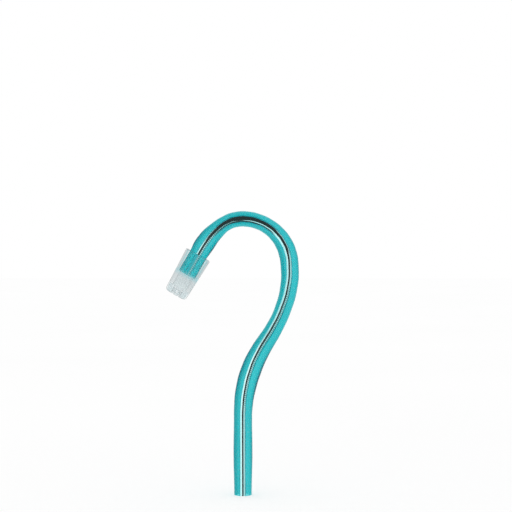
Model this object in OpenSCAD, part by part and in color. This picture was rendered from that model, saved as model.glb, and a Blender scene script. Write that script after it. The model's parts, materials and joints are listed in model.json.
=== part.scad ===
// Bendable dental saliva ejector: a soft tube, a shaping wire in its wall and a slotted push-on tip cap.
//
// The centreline lies in the XZ plane. It starts at the open tail end, which is the origin, runs up +Z,
// leans to the right (+X) through the neck and then hooks over to the left, down to the tip cap.
// The tube and its wire are cut into short links. Neighbouring links meet at a ball-shaped face centred
// on the centreline, so each joint can turn about Y without the links meeting or opening up.

/* [Tube] */
// Outside diameter of the tube
tube_d = 6.5; // [6.3:0.1:6.8]
// Diameter of the suction passage
lumen_d = 4.3; // [4.1:0.1:4.5]
// Length of the whole ejector along its centreline, tail end to cap end
total_length = 149.5; // [146:0.5:160]

/* [Shaping wire] */
// Diameter of the wire
wire_d = 1.5; // [1:0.1:1.5]
// Distance from the tube's axis to the wire's axis
wire_offset = 2.25; // [2.2:0.05:2.3]
// Angle of the wire round the tube, from the front towards the left
wire_angle = 9; // [0:1:20]
// Thickness of the plastic that covers the wire inside the suction passage
wire_cover = 0.35; // [0.25:0.05:0.4]

/* [Bend] */
// Length over which the neck leans to the right
neck_length = 26.5; // [22:0.5:30]
// Angle that the neck leans to the right
neck_lean = 33; // [0:1:40]
// Length of the straight waist between the neck and the hook
waist_length = 4; // [3.8:0.1:6]
// How far the hook is curled, as a share of its usual turn
hook_curl = 1; // [0.5:0.05:1.05]
// Length of bare straight tube between the hook and the cap
bare_tip = 2.6; // [2.6:0.1:4]

/* [Tip cap] */
// Length of the cap
cap_length = 16.5; // [15:0.5:17]
// Length of tube held inside the cap
insertion = 8.2; // [7.5:0.1:8.5]
// Outside diameter at the mouth, where the tube goes in
cap_mouth_d = 9.7; // [9.6:0.1:10]
// Outside diameter at the slotted end
cap_end_d = 8.3; // [7.9:0.1:8.4]
// Number of suction slots round the end
cap_slots = 8; // [4:1:8]
// Width of each slot
slot_w = 0.8; // [0.6:0.1:0.9]
// Height of each slot on the side of the cap
slot_h = 3; // [2.8:0.1:4.5]

/* [Hidden] */
$fn = 72;
ball_r = 3.7;          // radius of the ball-shaped face between two links
joint_gap = 0.04;      // clearance between two ball-shaped faces
wire_gap = 0.02;       // clearance round the wire in its channel
neck_links = 4;
// Each row is one stretch of the hook: its length, its turn to the left and its number of links.
hook_stretches = [[15, 18, 2], [14, 24, 2], [24, 82, 6], [7.5, 36, 2], [11, 23, 2]];
hook_links = [for (s = hook_stretches) for (k = [1:s[2]]) [s[0] / s[2], s[1] * hook_curl / s[2]]];
hook_length = sum([for (l = hook_links) l[0]]);
tip_length = bare_tip + insertion;
tail_length = total_length - cap_length - bare_tip - hook_length - waist_length - neck_length;

socket_gap = 0.05;     // clearance between the tube and the cap's socket
socket_r = tube_d / 2 + socket_gap;
socket_h = insertion + socket_gap;
lead_in = 0.35;        // chamfer at the socket's mouth
mouth_r = cap_mouth_d / 2;
mouth_round = 0.5;     // rounding of the mouth's outer edge
end_r = cap_end_d / 2;
end_round = 1.1;       // rounding of the slotted end's outer edge
chamber_r = 2.75;      // radius of the strainer chamber past the tube's end
plate_t = 1.2;         // thickness of the strainer plate that closes the chamber
crown_h = 0.7;         // height of the crown that stands round the plate
crown_r = 2.3;         // inner radius of the crown
chamber_h = cap_length - crown_h - plate_t - socket_h;
slot_from = 1.8;       // distance from the cap's axis at which the slots start
past = 1;              // how far a cut runs past the face that it opens

// Every link from the tail to the tip: its name, its length and its turn to the left.
links = concat(
    [["tail", tail_length, 0]],
    [for (k = [1:neck_links]) [str("neck_", k), neck_length / neck_links, -neck_lean / neck_links]],
    [["waist", waist_length, 0]],
    [for (k = [1:len(hook_links)]) concat(str("hook_", k), hook_links[k - 1])],
    [["tip", tip_length, 0]]
);
last = len(links) - 1;
// Where each link starts, as [x, z, heading]. The heading is counted from +X towards +Z.
starts = [for (i = 0, s = [0, 0, 90]; i <= last; s = after(s, links[i][1], links[i][2]), i = i + 1) s];

function sum(v, i = 0) = i < len(v) ? v[i] + sum(v, i + 1) : 0;

// Radius of an arc from its length and its turn in degrees.
function bend_r(length, turn) = length / (turn * PI / 180);

// Where a path that starts at s gets to, after an arc of that length and turn to the left.
function after(s, length, turn) =
    turn == 0
        ? [s[0] + length * cos(s[2]), s[1] + length * sin(s[2]), s[2]]
        : let (r = bend_r(length, turn), h = s[2] + turn)
          [s[0] + r * (sin(h) - sin(s[2])), s[1] + r * (cos(s[2]) - cos(h)), h];

// Moves its children so that their origin is at s and their +Z points along the heading.
module at(s) {
    translate([s[0], 0, s[1]]) rotate([0, 90 - s[2], 0]) children();
}

// Sweeps a 2D section from the origin up +Z, along an arc that turns towards -X. The section's own x and
// y lie along X and Y.
module sweep_left(length, turn) {
    r = bend_r(length, turn);
    translate([-r, 0, 0])
        rotate([90, 0, 0])
            rotate_extrude(angle = turn)
                translate([r, 0])
                    mirror([0, 1])
                        children();
}

// The same along an arc that turns either way, or straight up.
module sweep(length, turn) {
    if (turn > 0)
        sweep_left(length, turn) children();
    else if (turn < 0)
        mirror([1, 0, 0]) sweep_left(length, -turn) mirror([1, 0]) children();
    else
        linear_extrude(length) children();
}

// Everything above the origin that lies outside the ball-shaped end face of a link that ends there.
module past_ball() {
    reach = 2 * ball_r;
    rotate_extrude() difference() {
        square(reach);
        circle(r = ball_r - joint_gap / 2);
    }
}

// One link with the section that is passed in, trimmed to the ball-shaped faces at its joints.
module link(i) {
    length = links[i][1];
    turn = links[i][2];
    run_on = i < last ? (length + ball_r + past) / length : 1;
    at(starts[i]) difference() {
        sweep(length * run_on, turn * run_on) children();
        if (i > 0) sphere(r = ball_r + joint_gap / 2);
        if (i < last) at(after([0, 0, 90], length, turn)) past_ball();
    }
}

// Moves its children to the wire's place in the section.
module at_wire() {
    rotate(-90 - wire_angle) translate([wire_offset, 0]) children();
}

module tube_section() {
    difference() {
        circle(d = tube_d);
        difference() {
            circle(d = lumen_d);
            at_wire() circle(r = wire_d / 2 + wire_cover);
        }
        at_wire() circle(r = wire_d / 2 + wire_gap);
    }
}

module tube_link(i) {
    color([0.16, 0.70, 0.74]) link(i) tube_section();
}

module wire_link(i) {
    color("silver") link(i) at_wire() circle(d = wire_d);
}

// The cap's outside, standing on its mouth.
module cap_outside() {
    rotate_extrude() {
        polygon([
            [0, 0], [mouth_r - mouth_round, 0], [mouth_r, mouth_round],
            [end_r, cap_length - end_round], [end_r - end_round, cap_length], [0, cap_length]
        ]);
        translate([mouth_r - mouth_round, mouth_round]) circle(r = mouth_round);
        translate([end_r - end_round, cap_length - end_round]) circle(r = end_round);
    }
}

// The socket for the tube, the strainer chamber and the hollow of the crown.
module cap_inside() {
    translate([0, 0, -past]) cylinder(r = socket_r, h = socket_h + past);
    translate([0, 0, -lead_in]) cylinder(r1 = socket_r + 2 * lead_in, r2 = socket_r, h = 2 * lead_in);
    translate([0, 0, socket_h - socket_gap]) cylinder(r = chamber_r, h = chamber_h + socket_gap);
    translate([0, 0, cap_length - crown_h]) cylinder(r = crown_r, h = crown_h + past);
}

// One slot through the side and the end of the cap, with a round foot.
module cap_slot() {
    foot = cap_length - slot_h + slot_w / 2;
    translate([slot_from, -slot_w / 2, foot]) cube([end_r, slot_w, slot_h]);
    translate([slot_from, 0, foot]) rotate([0, 90, 0]) cylinder(d = slot_w, h = end_r);
}

module tip_cap() {
    color([0.86, 0.89, 0.90]) at(after(starts[last], bare_tip, 0)) difference() {
        cap_outside();
        cap_inside();
        for (k = [1:cap_slots]) rotate((k - 0.5) * 360 / cap_slots) cap_slot();
    }
}

for (i = [0:last]) {
    tube_link(i);
    wire_link(i);
}
tip_cap();
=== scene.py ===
"""Looks of a bendable saliva ejector: a clear teal tube, the steel wire in its wall and a milky tip cap."""

import json
import math
from collections import namedtuple

import bmesh
import bpy
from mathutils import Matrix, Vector


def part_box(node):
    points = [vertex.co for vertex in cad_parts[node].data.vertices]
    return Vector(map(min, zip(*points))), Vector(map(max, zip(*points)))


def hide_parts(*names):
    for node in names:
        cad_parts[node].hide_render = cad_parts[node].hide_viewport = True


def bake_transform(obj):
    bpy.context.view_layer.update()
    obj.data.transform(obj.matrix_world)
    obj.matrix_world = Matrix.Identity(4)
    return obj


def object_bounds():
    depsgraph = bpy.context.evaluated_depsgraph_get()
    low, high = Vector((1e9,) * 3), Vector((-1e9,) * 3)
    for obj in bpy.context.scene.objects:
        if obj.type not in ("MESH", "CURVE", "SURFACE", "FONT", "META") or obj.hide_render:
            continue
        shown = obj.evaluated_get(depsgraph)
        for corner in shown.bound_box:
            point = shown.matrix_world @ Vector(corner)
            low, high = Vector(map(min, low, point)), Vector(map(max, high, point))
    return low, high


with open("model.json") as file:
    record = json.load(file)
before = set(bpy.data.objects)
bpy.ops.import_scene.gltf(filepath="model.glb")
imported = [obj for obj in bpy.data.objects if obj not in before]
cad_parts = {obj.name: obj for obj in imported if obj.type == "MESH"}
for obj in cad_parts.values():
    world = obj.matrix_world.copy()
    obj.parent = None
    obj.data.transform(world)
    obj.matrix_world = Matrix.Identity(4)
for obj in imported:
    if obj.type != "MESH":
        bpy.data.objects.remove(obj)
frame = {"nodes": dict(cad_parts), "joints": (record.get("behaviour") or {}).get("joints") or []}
cad_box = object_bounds()

MM = 0.001

# ---- Sizes that the frame doesn't state ----

LUMEN_R = 2.15 * MM        # radius of the suction passage
WIRE_COVER = 0.35 * MM     # plastic between the wire and the suction passage
RIGID_IN_CAP = 0.1 * MM    # distance before the cap's mouth for the last piece's bend_to place
EVENED = 0.35              # share of a link's bow that is taken out, so that the straight pose ripples less
RING_STEP = 0.4 * MM       # distance between two rings of a swept mesh
TUBE_SIDES = 96
LUMEN_SIDES = 128
WIRE_SIDES = 32

# The next three lists hold values at distances from the tube's tail in mm, and run smoothly between them.
# How wide the tube looks from the front, as a share of its diameter. Bending squeezes it flat in places
# and pinches it in others.
WIDTHS = [
    (0, 0.96), (15, 1.04), (27, 1.0), (43, 1.13), (67, 0.91), (88, 1.0), (106, 0.85), (117, 0.845),
    (129, 1.1), (133.5, 1.0),
]
# How far the wire has wandered round the tube to the left, in degrees.
WANDER = [(0, -7.5), (28, -6), (64, 10.5), (94, -6)]
# How much the bend has creased the plastic against the wire's right side, or its left where it is negative.
CREASES = [(28, 0), (36, 1), (72, 1), (84, 0), (112, 0), (119, -1)]

# ---- The centreline, from the joints ----

BENDS = [j for j in frame["joints"] if j["type"] == "hinge"]
PULL = next(j for j in frame["joints"] if j["type"] == "slide")
SIDE = Vector((0, 1, 0))   # the tube bends about this direction
NO_TURN = 1e-9             # an arc that turns less than this is straight


def heading_of(direction):
    """The angle of a direction in the XZ plane, from +X towards +Z."""
    return math.atan2(direction.z, direction.x)


def towards(heading):
    """The direction of a heading."""
    return Vector((math.cos(heading), 0, math.sin(heading)))


class Stretch:
    """One arc of the centreline between two joints. It starts at a place and heading and turns evenly."""

    def __init__(self, along, start, heading, end):
        chord = end - start
        self.along = along
        self.start = start
        self.heading = heading
        self.turn = 2 * ((heading_of(chord) - heading + math.pi) % (2 * math.pi) - math.pi)
        half = self.turn / 2
        self.length = chord.length * (half / math.sin(half) if abs(half) > NO_TURN else 1)

    def at(self, along):
        """The place and the heading at a distance from the tube's tail."""
        share = (along - self.along) / self.length
        turned = self.turn * share
        half = turned / 2
        chord = self.length * share * (math.sin(half) / half if abs(half) > NO_TURN else 1)
        heading = self.heading + turned
        place = self.start + towards(self.heading + half) * chord
        return place + towards(heading + math.pi / 2) * self.evened(share), heading

    def evened(self, share):
        """How far towards the middle of its circle the arc is moved, most of all halfway along it."""
        from_joint = min(share, 1 - share)
        return EVENED * self.turn * self.length * (from_joint ** 2 - 2 * from_joint ** 4)


def stretches():
    """The whole centreline, from the tail through every bend joint to the tube's end."""
    places = [Vector((0, 0, 0))] + [Vector(j["pos_m"]) for j in BENDS]
    into_cap = Vector(PULL["axis"])
    tip = frame["nodes"]["tube_tip"].data
    reach = max((v.co - places[-1]).dot(into_cap) for v in tip.vertices)
    places.append(places[-1] + into_cap * reach)
    out = []
    along, heading = 0, math.pi / 2
    for start, end in zip(places, places[1:]):
        out.append(Stretch(along, start, heading, end))
        along += out[-1].length
        heading += out[-1].turn
    return out


CENTRELINE = stretches()
TIP = CENTRELINE[-1]
TUBE_END = TIP.along + TIP.length


def centre(along):
    """The place and heading of the tube's centreline at a distance from its tail."""
    stretch = next((s for s in reversed(CENTRELINE) if s.along <= along), CENTRELINE[0])
    return stretch.at(along)


# ---- The cap, from its CAD node ----

CAP_AXIS = towards(TIP.heading)
CAP_CORNERS = [v.co.copy() for v in frame["nodes"]["tip_cap"].data.vertices]
BARE_TIP = min((c - TIP.start).dot(CAP_AXIS) for c in CAP_CORNERS)
MOUTH = TIP.start + CAP_AXIS * BARE_TIP
MOUTH_ALONG = TIP.along + BARE_TIP
CAP_LENGTH = max((c - MOUTH).dot(CAP_AXIS) for c in CAP_CORNERS)


def cap_radius(near_mouth):
    """The cap's largest radius in the half of it near its mouth, or in the half near its slotted end."""
    largest = 0
    for corner in CAP_CORNERS:
        inward = (corner - MOUTH).dot(CAP_AXIS)
        if (inward < CAP_LENGTH / 2) == near_mouth:
            largest = max(largest, (corner - MOUTH - CAP_AXIS * inward).length)
    return largest


# ---- Section of the tube ----

tail_low, tail_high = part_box("tube_tail")
wire_low, wire_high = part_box("wire_tail")
TUBE_R = (tail_high.x - tail_low.x) / 2
WIRE_R = (wire_high.x - wire_low.x) / 2
WIRE_X = (wire_high.x + wire_low.x) / 2
WIRE_Y = (wire_high.y + wire_low.y) / 2


def between(listed, along):
    """The value at a distance from the tail, smoothly between the listed places."""
    mm = along / MM
    for (a, value_a), (b, value_b) in zip(listed, listed[1:]):
        if mm <= b:
            t = max(0.0, (mm - a) / (b - a))
            return value_a + (value_b - value_a) * t * t * (3 - 2 * t)
    return listed[-1][1]


def wire_place(along):
    """Where the wire's centre is in the section."""
    share = between(WIDTHS, along)
    turn = -math.radians(between(WANDER, along))
    x = WIRE_X * math.cos(turn) - WIRE_Y * math.sin(turn)
    y = WIRE_X * math.sin(turn) + WIRE_Y * math.cos(turn)
    return Vector((x * share, y / share))


def ellipse(angle, half_x, half_y):
    """A point of an ellipse and its outward normal."""
    x, y = math.cos(angle), math.sin(angle)
    return Vector((x * half_x, y * half_y)), Vector((x * half_y, y * half_x)).normalized()


def outer_loop(along):
    """The tube's outside: points and outward normals."""
    share = between(WIDTHS, along)
    angles = [2 * math.pi * i / TUBE_SIDES for i in range(TUBE_SIDES)]
    return [ellipse(a, TUBE_R * share, TUBE_R / share) for a in angles]


def lumen_loop(along):
    """The suction passage: an ellipse with the wire's round cover standing into it."""
    share = between(WIDTHS, along)
    bump = wire_place(along)
    bump_r = WIRE_R + WIRE_COVER
    points = []
    for i in range(LUMEN_SIDES):
        point, normal = ellipse(2 * math.pi * i / LUMEN_SIDES, LUMEN_R * share, LUMEN_R / share)
        ray = point.normalized()
        along_ray = ray.dot(bump)
        off_ray = (bump - ray * along_ray).length
        if along_ray > 0 and off_ray < bump_r:
            hit = ray * (along_ray - math.sqrt(bump_r ** 2 - off_ray ** 2))
            if hit.length < point.length:
                point, normal = hit, (bump - hit).normalized()
        points.append((point, -normal))
    return points


def wire_loop(along):
    """The wire's outside: points and outward normals."""
    place = wire_place(along)
    loop = [ellipse(2 * math.pi * i / WIRE_SIDES, WIRE_R, WIRE_R) for i in range(WIRE_SIDES)]
    return [(place + p, n) for p, n in loop]


# ---- Swept meshes ----

class Sweep:
    """Collects the faces of a mesh with an exact normal at each corner."""

    def __init__(self):
        self.bm = bmesh.new()
        self.along = self.bm.verts.layers.float.new("along_mm")
        self.right = self.bm.verts.layers.float.new("right")
        self.creased = self.bm.verts.layers.float.new("creased")
        self.normals = {}

    def ring(self, loop, along):
        """Puts a section's loop round the centreline. Returns its vertices and their normals."""
        place, heading = centre(along)
        forward = towards(heading)
        right = SIDE.cross(forward)
        vertices = []
        for point, normal in loop:
            v = self.bm.verts.new(place + right * point.x + SIDE * point.y)
            v[self.along] = along / MM
            v[self.right] = normal.x
            v[self.creased] = between(CREASES, along)
            vertices.append((v, (right * normal.x + SIDE * normal.y).normalized()))
        return vertices

    def face(self, corners, slot=0):
        """Makes one face from vertices and their normals."""
        face = self.bm.faces.new([v for v, _ in corners])
        face.smooth = True
        face.material_index = slot
        self.normals[face] = [n for _, n in corners]

    def band(self, first, second, inward):
        """Joins two rings with a band of faces."""
        n = len(first)
        for i in range(n):
            k = (i + 1) % n
            corners = [first[i], first[k], second[k], second[i]]
            self.face(corners[::-1] if inward else corners)

    def end(self, outer, inner, slot, forward, first):
        """Closes the space between two loops of one end, or a single loop, with faces."""
        normal = -forward if first else forward
        flat = [(v, normal) for v, _ in outer]
        if inner is None:
            self.face(flat[::-1] if first else flat, slot)
            return
        hole = [(v, normal) for v, _ in inner]
        n, m = len(flat), len(hole)
        i = k = 0
        while i < n or k < m:
            if k * n <= i * m and k < m:
                corners = [flat[i % n], hole[(k + 1) % m], hole[k % m]]
                k += 1
            else:
                corners = [flat[i % n], flat[(i + 1) % n], hole[k % m]]
                i += 1
            self.face(corners[::-1] if first else corners, slot)

    def finish(self, name, materials):
        """Turns the faces into an object."""
        self.bm.faces.ensure_lookup_table()
        self.bm.faces.index_update()
        corners = [n for f in self.bm.faces for n in self.normals[f]]
        mesh = bpy.data.meshes.new(name)
        self.bm.to_mesh(mesh)
        self.bm.free()
        mesh.normals_split_custom_set(corners)
        for material in materials:
            mesh.materials.append(material)
        piece = bpy.data.objects.new(name, mesh)
        bpy.context.scene.collection.objects.link(piece)
        return piece


def stations(first, last):
    """Even distances from first to last, at most a ring's step apart."""
    count = max(2, math.ceil((last - first) / RING_STEP))
    return [first + (last - first) * i / count for i in range(count + 1)]


def tube_piece(name, first, last, materials):
    """A closed length of tube. Its end faces show only at the tube's own two ends."""
    sweep = Sweep()
    rings = []
    for along in stations(first, last):
        rings.append((sweep.ring(outer_loop(along), along), sweep.ring(lumen_loop(along), along)))
    for (outer, lumen), (next_outer, next_lumen) in zip(rings, rings[1:]):
        sweep.band(outer, next_outer, inward=False)
        sweep.band(lumen, next_lumen, inward=True)
    for along, (outer, lumen), is_first in ((first, rings[0], True), (last, rings[-1], False)):
        own_end = along < RING_STEP or along > TUBE_END - RING_STEP
        sweep.end(outer, lumen, 0 if own_end else 1, towards(centre(along)[1]), is_first)
    return sweep.finish(name, materials)


def wire_piece(name, first, last, materials):
    """A closed length of wire."""
    sweep = Sweep()
    rings = [sweep.ring(wire_loop(a), a) for a in stations(first, last)]
    for ring, next_ring in zip(rings, rings[1:]):
        sweep.band(ring, next_ring, inward=False)
    sweep.end(rings[0], None, 0, towards(centre(first)[1]), first=True)
    sweep.end(rings[-1], None, 0, towards(centre(last)[1]), first=False)
    return sweep.finish(name, materials)


# ---- Node helpers ----

WHITE = (1, 1, 1, 1)


class Tree:
    """A short way to write a node tree."""

    def __init__(self, owner):
        owner.use_nodes = True
        self.tree = owner.node_tree
        self.tree.nodes.clear()

    def put(self, socket, value):
        """Links a socket to another, or sets it to a plain value."""
        if isinstance(value, bpy.types.NodeSocket):
            self.tree.links.new(value, socket)
        else:
            socket.default_value = value

    def node(self, kind, settings=None, **inputs):
        """A new node. An underscore in the name of an input stands for a space."""
        node = self.tree.nodes.new("ShaderNode" + kind)
        for key, value in (settings or {}).items():
            setattr(node, key, value)
        for key, value in inputs.items():
            self.put(node.inputs[key.replace("_", " ")], value)
        return node

    def maths(self, operation, *values):
        """One step of arithmetic on sockets or plain numbers."""
        node = self.node("Math", {"operation": operation})
        for socket, value in zip(node.inputs, values):
            self.put(socket, value)
        return node.outputs[0]

    def vectors(self, operation, *values):
        """One step on vectors. Gives the vector or the number that comes out of it."""
        node = self.node("VectorMath", {"operation": operation})
        for socket, value in zip(node.inputs, values):
            self.put(socket, value)
        return next(socket for socket in node.outputs if socket.enabled)

    def minus(self, value):
        """The value with its sign turned round."""
        return self.maths("MULTIPLY", value, -1)

    def step(self, value, low, high, kind="SMOOTHSTEP"):
        """0 below low and 1 above high. The kind says how it rises between them."""
        node = self.node("MapRange", {"interpolation_type": kind}, Value=value)
        self.put(node.inputs["From Min"], low)
        self.put(node.inputs["From Max"], high)
        return node.outputs[0]

    def pick(self, factor, a, b):
        """Number a where factor is 0 and b where it is 1."""
        node = self.node("Mix", {"data_type": "FLOAT"})
        for socket, value in zip(node.inputs[:1] + node.inputs[2:4], (factor, a, b)):
            self.put(socket, value)
        return node.outputs[0]

    def colours(self, factor, a, b, blend="MIX"):
        """Colour a where factor is 0, and b, or a blended with b, where it is 1."""
        node = self.node("Mix", {"data_type": "RGBA", "blend_type": blend})
        for socket, value in zip(node.inputs[:1] + node.inputs[6:8], (factor, a, b)):
            self.put(socket, value)
        return node.outputs[2]

    def mix(self, factor, a, b):
        """Shader a where factor is 0 and b where it is 1."""
        node = self.node("MixShader")
        for socket, value in zip(node.inputs, (factor, a, b)):
            self.put(socket, value)
        return node.outputs[0]

    def clear(self, colour=WHITE):
        """A shader that lets light straight through, tinted by the colour."""
        return self.node("BsdfTransparent", Color=colour).outputs[0]

    def as_seen(self, direction):
        """A direction as the camera sees it: how far to the right, upwards and ahead it points."""
        turned = self.node(
            "VectorTransform",
            {"vector_type": "VECTOR", "convert_from": "WORLD", "convert_to": "CAMERA"},
            Vector=direction,
        )
        return self.node("SeparateXYZ", Vector=turned.outputs[0]).outputs


def roughly_reflected(tree, path):
    """1 for rays off the wire, and off the cap's outside, which have the only rough reflections."""
    rough = tree.maths("SUBTRACT", 1, path.outputs["Is Singular Ray"])
    reflected = tree.maths("SUBTRACT", 1, path.outputs["Is Transmission Ray"])
    return tree.maths("MULTIPLY", tree.maths("MULTIPLY", path.outputs["Is Glossy Ray"], rough), reflected)


# ---- The tube's plastic ----

PLASTIC_IOR = 1.53
ABSORBED = (1.74, 0.31, 0.275)     # how strongly the plastic absorbs red, green and blue, per mm
DEEPEST = 4 * MM                   # light that goes further than this inside the plastic gets no darker
TURNED_BACK = 2                    # bounces of a ray that a face inside the plastic has turned back
TRAPPED = 4.5                      # bounces after which light that is caught in the plastic is let out
GLOSS = 0.4                        # strength of the plastic's reflections beside those of a polished one
SHADE = (0.85, 0.965, 0.975, 1)    # colour of the light that gets through each face of the tube to the floor


def through_plastic(tree, length, strength=1.0):
    """What a length of the plastic leaves of red, green and blue."""
    colour = tree.node("CombineColor")
    for socket, absorbed in zip(colour.inputs, ABSORBED):
        tree.put(socket, tree.maths("EXPONENT", tree.maths("MULTIPLY", length, -strength * absorbed / MM)))
    return colour.outputs[0]


def entering_plastic(tree):
    """The tube's faces seen from outside the plastic: a softened mirror over clear refraction."""
    bent = tree.node("BsdfRefraction", Color=WHITE, Roughness=0.0, IOR=PLASTIC_IOR)
    shine = tree.node("BsdfGlossy", Color=WHITE, Roughness=0.0)
    mirrored = tree.maths("MULTIPLY", tree.node("Fresnel", IOR=PLASTIC_IOR).outputs[0], GLOSS)
    return tree.mix(mirrored, bent.outputs[0], shine.outputs[0])


def tube_plastic():
    """Clear teal plastic. The way a ray has gone inside it decides how much of it is absorbed."""
    material = bpy.data.materials.new("teal_plastic")
    tree = Tree(material)
    path = tree.node("LightPath")
    leaving = tree.node("NewGeometry").outputs["Backfacing"]
    passed = through_plastic(tree, tree.maths("MINIMUM", path.outputs["Ray Length"], DEEPEST))
    glass = tree.node("BsdfGlass", Color=passed, Roughness=0.0, IOR=PLASTIC_IOR)
    body = tree.mix(leaving, entering_plastic(tree), glass.outputs[0])
    depth = path.outputs["Ray Depth"]
    turned_back = tree.maths("MULTIPLY", tree.maths("COMPARE", depth, TURNED_BACK, 0.5), leaving)
    body = tree.mix(turned_back, body, tree.clear(passed))
    late = tree.maths("GREATER_THAN", depth, TRAPPED)
    body = tree.mix(tree.maths("MAXIMUM", roughly_reflected(tree, path), late), body, tree.clear())
    body = tree.mix(path.outputs["Is Diffuse Ray"], body, tree.clear(SHADE))
    tree.node("OutputMaterial", Surface=body)
    return material


def inside_tube():
    """The faces where two lengths of tube meet inside the plastic, which can't be seen."""
    material = bpy.data.materials.new("inside_plastic")
    tree = Tree(material)
    tree.node("OutputMaterial", Surface=tree.clear())
    return material


# ---- The wire's steel ----

WIRE_COLOUR = (0.8, 0.79, 0.78, 1)
WIRE_ROUGHNESS = 0.12
WIRE_TINT = 1.2                    # how strongly the plastic in front tints the wire
DEEPEST_TINT = 0.43 * MM
CREASE_TURN = 2 * math.pi / 0.7    # turn of the crease pattern per mm along the wire
CREASE_SLANT = 2.5
CREASE_EDGE = (-0.3, 0.5)          # values of the pattern between which a tick sets in
CREASE_SIDE = (0.25, 0.45)         # how far a face points sideways where the ticks set in
# the ticks' colour is painted shade of the creased plastic
CREASE_SHADE_COLOUR = (0.02, 0.25, 0.27, 1)


def painted_crease_shade(tree):
    """1 on the fine slanting ticks of painted shade, where the creased plastic touches one side of the wire.
    """
    along, right, creased = (
        tree.node("Attribute", {"attribute_name": name}).outputs["Fac"]
        for name in ("along_mm", "right", "creased")
    )
    turn = tree.maths("MULTIPLY", along, CREASE_TURN)
    phase = tree.maths("ADD", turn, tree.maths("MULTIPLY", right, CREASE_SLANT))
    ticks = tree.step(tree.maths("SINE", phase), *CREASE_EDGE)
    on_side = tree.step(tree.maths("MULTIPLY", right, creased), *CREASE_SIDE)
    return tree.maths("MULTIPLY", ticks, on_side)


def wire_steel():
    """Drawn steel, tinted by the plastic in front of it, with fine ticks of painted crease shade."""
    material = bpy.data.materials.new("drawn_steel")
    tree = Tree(material)
    length = tree.maths("MINIMUM", tree.node("LightPath").outputs["Ray Length"], DEEPEST_TINT)
    tinted = tree.colours(1.0, WIRE_COLOUR, through_plastic(tree, length, WIRE_TINT), blend="MULTIPLY")
    steel = tree.node("BsdfPrincipled", Metallic=1.0, Roughness=WIRE_ROUGHNESS)
    tree.put(steel.inputs["Base Color"], tree.colours(painted_crease_shade(tree), tinted, CREASE_SHADE_COLOUR))
    tree.node("OutputMaterial", Surface=steel.outputs[0])
    return material


# ---- The cap's plastic ----

CAP_IOR = 1.5
CAP_GLOSS = 0.5                          # strength of the cap's shine beside that of a polished one
CAP_ROUGHNESS = 0.22
MILK_ROUGHNESS = 0.6
CAP_SHADE = (0.96, 0.965, 0.97, 1)       # colour of the light that gets through each face of the cap

# The milky plastic's colour, with painted light: the tube's teal beside it and round its end, and a lighter
# slotted end
EMPTY_COLOUR = (0.6, 0.66, 0.68, 1)      # where the cap is empty
TUBE_LIGHT_BESIDE = (0.1, 0.47, 0.52, 1)     # beside the tube: painted teal light of the tube behind it
TUBE_LIGHT_HAZE = (0.42, 0.65, 0.69, 1)      # round the tube's end: painted haze of the tube's teal light
SLOTTED_LIT_COLOUR = (0.72, 0.77, 0.79, 1)   # at the slotted end: lighter, painted light against the shade inside its slots

# Share of the light that it scatters
CLOUD_FILLED = 0.02                      # in front of the tube
CLOUD_BESIDE = 0.46                      # beside the tube
CLOUD_EMPTY = 0.42                       # where the cap is empty
CLOUD_SLOTTED = 0.2                      # on the walls of the slots and the strainer
CLOUD_HAZE = 0.3                         # added round the tube's end
CLOUD_BLOTCH = 0.06                      # added in blotches
BLOTCH_SCALE = 900.0
BLOTCH_REACH = 2 * MM                    # how unevenly the blotches shift the line between filled and empty

# Share of the light that gets straight through what is left
CLEAR_FILLED = 0.985                     # in front of the tube
CLEAR_OFF_TUBE = 0.93                    # elsewhere
CLEAR_RED = 0.975                        # of red, beside that of green and blue
RIM_LOSS = 0.5                           # lost at the rims
RIM_NARROWNESS = 3.0

# Where one region gives way to the next, smoothly between two values
SKIN_EDGE = (-0.35 * MM, -0.2 * MM)      # out from the cap's cone, for its outer skin
END_EDGE = (-0.1 * MM, -0.05 * MM)       # past the cap's end, for the same
EMPTY_EDGE = (-0.4 * MM, 0.6 * MM)       # past the tube's end, for the empty part
HAZE_FROM = (-1.4 * MM, 0.0)             # the same, for the haze to set in
HAZE_TO = (0.0, 1.6 * MM)                # the same, for the haze to fade
SLOTTED_EDGE = (-3.6 * MM, -2.6 * MM)    # past the cap's end, for the slotted end
BESIDE_EDGE = (0.24, 0.44)               # how far a face is turned away where the tube's side is behind it
RIM_EDGE = (0.3, 0.62)                   # how far it is turned away where the painted teal of the tube fades from it

# Painted reflection: a glow that the wire mirrors in place of the cap round it, from the camera's left (0)
# to its right (1).
CAP_GLOW_TEAL = (0.1, 0.62, 0.7, 1)
CAP_GLOW_GREY = (0.25, 0.42, 0.42, 1)
CAP_LIGHTS = [
    (0.0, CAP_GLOW_TEAL), (0.6, CAP_GLOW_TEAL), (0.66, CAP_GLOW_GREY), (0.7, CAP_GLOW_GREY),
    (0.73, WHITE), (0.89, WHITE), (0.94, CAP_GLOW_TEAL),
]


def cap_place(tree, place):
    """How far a point of the cap is from the mouth along the cap's axis, and how far off the axis."""
    from_mouth = tree.vectors("SUBTRACT", place, MOUTH)
    inward = tree.vectors("DOT_PRODUCT", from_mouth, CAP_AXIS)
    distance = tree.vectors("LENGTH", from_mouth)
    squared = tree.maths("MULTIPLY", distance, distance)
    squared = tree.maths("SUBTRACT", squared, tree.maths("MULTIPLY", inward, inward))
    return inward, tree.maths("SQRT", tree.maths("MAXIMUM", squared, 0.0))


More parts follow.
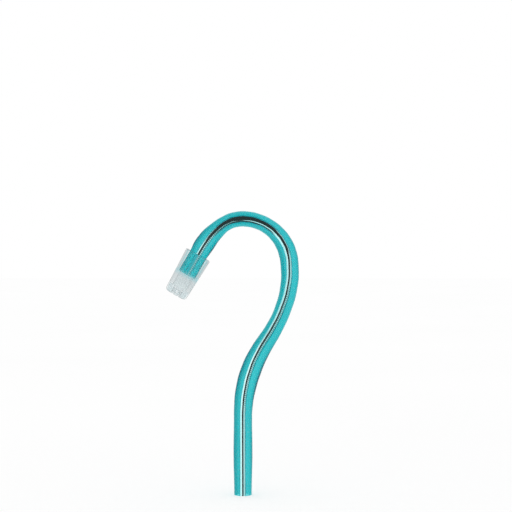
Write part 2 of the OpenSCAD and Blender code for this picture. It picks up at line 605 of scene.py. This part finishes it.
def cap_outside(tree, inward, off_axis):
    """1 on the cap's outside, and 0 on its socket, its strainer and its slots."""
    mouth_r = cap_radius(near_mouth=True)
    taper = (cap_radius(near_mouth=False) - mouth_r) / CAP_LENGTH
    radius = tree.maths("ADD", mouth_r, tree.maths("MULTIPLY", inward, taper))
    on_side = tree.step(tree.maths("SUBTRACT", off_axis, radius), *SKIN_EDGE)
    on_end = tree.step(tree.maths("SUBTRACT", inward, CAP_LENGTH), *END_EDGE)
    return tree.maths("MAXIMUM", on_side, on_end)


class CapRegions:
    """How far a point of the cap belongs to each region, from 0 to 1, and how its face is turned."""

    def __init__(self, tree):
        place = tree.node("TexCoord").outputs["Object"]
        inward, off_axis = cap_place(tree, place)
        self.outside = cap_outside(tree, inward, off_axis)
        self.slotted = tree.step(tree.maths("SUBTRACT", inward, CAP_LENGTH), *SLOTTED_EDGE)
        self.blotch = tree.node("TexNoise", Vector=place, Scale=BLOTCH_SCALE, Detail=2.0).outputs[0]
        shift = tree.maths("MULTIPLY", tree.maths("SUBTRACT", self.blotch, 0.5), BLOTCH_REACH)
        past_tube = tree.maths("SUBTRACT", tree.maths("ADD", inward, shift), TUBE_END - MOUTH_ALONG)
        self.empty = tree.step(past_tube, *EMPTY_EDGE)
        hazy = tree.step(past_tube, *HAZE_FROM)
        self.at_tube_end = tree.maths("SUBTRACT", hazy, tree.step(past_tube, *HAZE_TO))
        self.turned_away = tree.node("LayerWeight", Blend=0.5).outputs["Facing"]
        self.off_tube = tree.maths("MAXIMUM", self.empty, tree.step(self.turned_away, *BESIDE_EDGE))
        self.front = tree.maths("SUBTRACT", 1, tree.node("NewGeometry").outputs["Backfacing"])


def cap_cloud(tree, cap):
    """Share of the light that the cloudy plastic scatters."""
    cloud = tree.pick(cap.off_tube, CLOUD_FILLED, tree.pick(cap.empty, CLOUD_BESIDE, CLOUD_EMPTY))
    cloud = tree.maths("ADD", cloud, tree.maths("MULTIPLY", cap.blotch, CLOUD_BLOTCH))
    cloud = tree.maths("ADD", cloud, tree.maths("MULTIPLY", cap.at_tube_end, CLOUD_HAZE))
    return tree.pick(cap.outside, tree.pick(cap.slotted, CLOUD_FILLED, CLOUD_SLOTTED), cloud)


def cap_milk(tree, cap):
    """The cloud itself. Its front faces scatter light back and its back faces let it through."""
    towards_rim = tree.maths("MAXIMUM", cap.empty, tree.step(cap.turned_away, *RIM_EDGE))
    colour = tree.colours(towards_rim, TUBE_LIGHT_BESIDE, EMPTY_COLOUR)
    colour = tree.colours(cap.at_tube_end, colour, TUBE_LIGHT_HAZE)
    # the slotted end's lighter colour is painted light against the shade of its slots
    colour = tree.colours(cap.slotted, colour, SLOTTED_LIT_COLOUR)
    passing = tree.node("BsdfTranslucent", Color=colour)
    skin = tree.node("BsdfDiffuse", Color=colour, Roughness=MILK_ROUGHNESS)
    return tree.mix(cap.front, passing.outputs[0], skin.outputs[0])


def cap_clear(tree, cap):
    """What gets straight through the cap: a little less off the tube, and much less at the rims."""
    passed = tree.pick(tree.maths("MULTIPLY", cap.off_tube, cap.outside), CLEAR_FILLED, CLEAR_OFF_TUBE)
    lost = tree.maths("MULTIPLY", tree.maths("POWER", cap.turned_away, RIM_NARROWNESS), RIM_LOSS)
    passed = tree.maths("SUBTRACT", passed, lost)
    red = tree.maths("MULTIPLY", passed, CLEAR_RED)
    return tree.clear(tree.node("CombineColor", Red=red, Green=passed, Blue=passed).outputs[0])


def painted_cap_glow_for_wire(tree):
    """A painted glow that stands for the light inside the cloudy cap, for the wire to mirror."""
    rightwards = tree.minus(tree.as_seen(tree.node("NewGeometry").outputs["Incoming"])[0])
    ramp = tree.node("ValToRGB", Fac=tree.step(rightwards, -1.0, 1.0, kind="LINEAR"))
    stops = ramp.color_ramp.elements
    stops.remove(stops[-1])
    stops[0].position, stops[0].color = CAP_LIGHTS[0]
    for position, colour in CAP_LIGHTS[1:]:
        stops.new(position).color = colour
    return tree.node("Emission", Color=ramp.outputs[0], Strength=1.0).outputs[0]


def cap_plastic():
    """Soft milky plastic. It is nearly clear where the tube fills it, and cloudy where it is empty."""
    material = bpy.data.materials.new("milky_plastic")
    tree = Tree(material)
    path = tree.node("LightPath")
    cap = CapRegions(tree)
    cloud = tree.maths("MULTIPLY", cap_cloud(tree, cap), path.outputs["Is Camera Ray"])
    body = tree.mix(cloud, cap_clear(tree, cap), cap_milk(tree, cap))
    shine = tree.node("BsdfGlossy", Color=WHITE, Roughness=CAP_ROUGHNESS)
    mirrored = tree.maths("MULTIPLY", tree.node("Fresnel", IOR=CAP_IOR).outputs[0], CAP_GLOSS)
    mirrored = tree.maths("MULTIPLY", mirrored, tree.maths("MULTIPLY", cap.front, cap.outside))
    body = tree.mix(mirrored, body, shine.outputs[0])
    # rough reflections off the wire and the cap see the cap as a painted glow
    body = tree.mix(roughly_reflected(tree, path), body, painted_cap_glow_for_wire(tree))
    body = tree.mix(path.outputs["Is Diffuse Ray"], body, tree.clear(CAP_SHADE))
    tree.node("OutputMaterial", Surface=body)
    return material


# ---- Pieces ----

def middle(stretch):
    """How far from the tail the middle of a stretch is."""
    return stretch.along + stretch.length / 2


def build_tube_and_wire():
    """One piece of tube and one of wire over each bend joint, from one link's middle to the next one's."""
    plastic = tube_plastic()
    inside = inside_tube()
    steel = wire_steel()
    for k, joint in enumerate(BENDS):
        before, after = CENTRELINE[k], CENTRELINE[k + 1]
        first = 0.0 if k == 0 else middle(before)
        last = TUBE_END if k == len(BENDS) - 1 else middle(after)
        bend_from = max(first, after.along - after.length / 2)
        bend_to = min(last, MOUTH_ALONG - RIGID_IN_CAP)
        tube = tube_piece("tube_" + joint["name"], first, last, [plastic, inside])
        wire = wire_piece("wire_" + joint["name"], first, last, [steel])
        nodes = [joint["child"]] + (["tail"] if k == 0 else [])
        for piece, kind in ((tube, "tube"), (wire, "wire")):
            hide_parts(*[f"{kind}_{n}" for n in nodes])
            centre(bend_from)[0]
            centre(bend_to)[0]
            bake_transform(piece)


def build_cap():
    """The cap keeps its CAD shape."""
    cap = frame["nodes"]["tip_cap"]
    cap.data.materials.clear()
    cap.data.materials.append(cap_plastic())


# ---- Stage ----

FLOOR_HALF = 5.0                         # half the floor's width, in metres
GRAIN_SCALE = 40.0
GRAIN_TONES = (0.98, 1.0)                # the paint's darkest and lightest tones


def floor_paint():
    """White paint with a very faint grain."""
    material = bpy.data.materials.new("white_floor")
    tree = Tree(material)
    grain = tree.node("TexNoise", Scale=GRAIN_SCALE, Detail=3.0)
    tone = tree.pick(grain.outputs[0], *GRAIN_TONES)
    colour = tree.node("CombineColor", Red=tone, Green=tone, Blue=tone)
    paint = tree.node("BsdfDiffuse", Color=colour.outputs[0])
    tree.node("OutputMaterial", Surface=paint.outputs[0])
    return material


def build_floor():
    """A wide white floor at the tail's end, which the plastic and the wire don't see."""
    bm = bmesh.new()
    corners = [(-1, -1), (1, -1), (1, 1), (-1, 1)]
    bm.faces.new([bm.verts.new((x * FLOOR_HALF, y * FLOOR_HALF, cad_box[0].z)) for x, y in corners])
    mesh = bpy.data.meshes.new("floor")
    bm.to_mesh(mesh)
    bm.free()
    mesh.materials.append(floor_paint())
    floor = bpy.data.objects.new("floor", mesh)
    bpy.context.scene.collection.objects.link(floor)
    floor.visible_glossy = False
    floor.visible_transmission = False


# The studio is set out by direction as the camera sees it: right, up and ahead, each from -1 to 1.
# The wire and the cap's outside mirror two lamps. Each covers all directions further to its side than its
# edge, which moves out for directions above the level and in for those below it.
Lamp = namedtuple("Lamp", "edge above below soft bright")
LEFT_LAMP = Lamp(edge=0.61, above=0.3, below=0.62, soft=0.04, bright=1.4)
RIGHT_LAMP = Lamp(edge=0.74, above=0.7, below=0.6, soft=0.06, bright=0.95)
RIGHT_LAMP_AHEAD = (0.2, 0.5)            # how far ahead the right lamp sets in for every direction
DARK_ROOM = 0.04                         # what they mirror between the lamps
FRONT_LIT = (0.1, 0.25)                  # how far towards the camera the lamps are on at every height
LEVEL_LIT = (0.1, 0.3)                   # how near the level they are on for other directions
LEVEL_SLOPE = 0.7
PANELS = (0.25, 0.45)                    # how far to either side the plastic mirrors a bright panel
PANEL_GAP_LIGHT = 0.6                    # what it mirrors between the panels
BACKGROUND = (-0.2, 0.1)                 # how far ahead the white background sets in
RIGHT_BRIGHTER = 0.13                    # how much brighter the far right is than the middle


def lamp_light(tree, lamp, sideways, up):
    """The light of one lamp in a direction. Sideways counts towards the lamp's own side."""
    above = tree.maths("MULTIPLY", tree.maths("MAXIMUM", up, 0.0), lamp.above)
    below = tree.maths("MULTIPLY", tree.maths("MAXIMUM", tree.minus(up), 0.0), lamp.below)
    edge = tree.maths("ADD", lamp.edge, tree.maths("SUBTRACT", above, below))
    return tree.step(tree.maths("SUBTRACT", sideways, edge), -lamp.soft, lamp.soft)


def near_level(tree, right, up, ahead):
    """1 for directions that lead off to the side rather than up or down, however far ahead they point."""
    steep = tree.maths("MULTIPLY", tree.maths("ABSOLUTE", up), LEVEL_SLOPE)
    sideways = tree.maths("SUBTRACT", tree.maths("ABSOLUTE", right), steep)
    never_zero = tree.maths("SUBTRACT", 1.001, tree.maths("MULTIPLY", ahead, ahead))
    return tree.step(tree.maths("DIVIDE", sideways, tree.maths("SQRT", never_zero)), *LEVEL_LIT)


def light_on_metal(tree, right, up, ahead):
    """The two lamps. Directions that point ahead see them only near the level."""
    left_lamp = lamp_light(tree, LEFT_LAMP, tree.minus(right), up)
    right_lamp = lamp_light(tree, RIGHT_LAMP, right, up)
    right_lamp = tree.maths("MAXIMUM", right_lamp, tree.step(ahead, *RIGHT_LAMP_AHEAD))
    lit = tree.maths("MAXIMUM", tree.step(tree.minus(ahead), *FRONT_LIT), near_level(tree, right, up, ahead))
    lamps = tree.maths(
        "MAXIMUM",
        tree.maths("MULTIPLY", left_lamp, LEFT_LAMP.bright),
        tree.maths("MULTIPLY", right_lamp, RIGHT_LAMP.bright),
    )
    return tree.maths("ADD", tree.maths("MULTIPLY", lamps, lit), DARK_ROOM)


def light_on_plastic(tree, right, ahead):
    """White behind the plastic, and a dimmer room with two side panels in front of it."""
    panels = tree.maths("ADD", tree.step(right, *PANELS), tree.step(tree.minus(right), *PANELS))
    room = tree.maths("ADD", panels, PANEL_GAP_LIGHT)
    light = tree.pick(tree.step(ahead, *BACKGROUND), room, 1.0)
    return tree.maths("MULTIPLY", light, tree.maths("ADD", 1, tree.maths("MULTIPLY", right, RIGHT_BRIGHTER)))


def build_light():
    """A white studio all round. Clear plastic and rough mirrors each have their own view of it."""
    world = bpy.data.worlds.new("studio")
    bpy.context.scene.world = world
    world.cycles.sampling_method = "NONE"
    tree = Tree(world)
    path = tree.node("LightPath")
    right, up, ahead = tree.as_seen(tree.node("TexCoord").outputs["Generated"])
    light = tree.pick(
        roughly_reflected(tree, path),
        light_on_plastic(tree, right, ahead),
        light_on_metal(tree, right, up, ahead),
    )
    light = tree.pick(path.outputs["Is Diffuse Ray"], light, 1.0)
    light = tree.pick(path.outputs["Is Camera Ray"], light, 1.0)
    background = tree.node("Background", Color=WHITE, Strength=light)
    tree.node("OutputWorld", Surface=background.outputs[0])


CAMERA_AT = (0.00465, -0.508, 0.0852)
CAMERA_LENS = 100
CAMERA_SENSOR = 36


def build_camera():
    """Level, straight from the front."""
    data = bpy.data.cameras.new("camera")
    data.lens = CAMERA_LENS
    data.sensor_width = CAMERA_SENSOR
    camera = bpy.data.objects.new("camera", data)
    bpy.context.scene.collection.objects.link(camera)
    camera.location = CAMERA_AT
    camera.rotation_euler = (math.radians(90), 0, 0)
    bpy.context.scene.camera = camera


build_tube_and_wire()
build_cap()
build_floor()
build_light()
build_camera()
bpy.context.scene.view_settings.view_transform = "Standard"
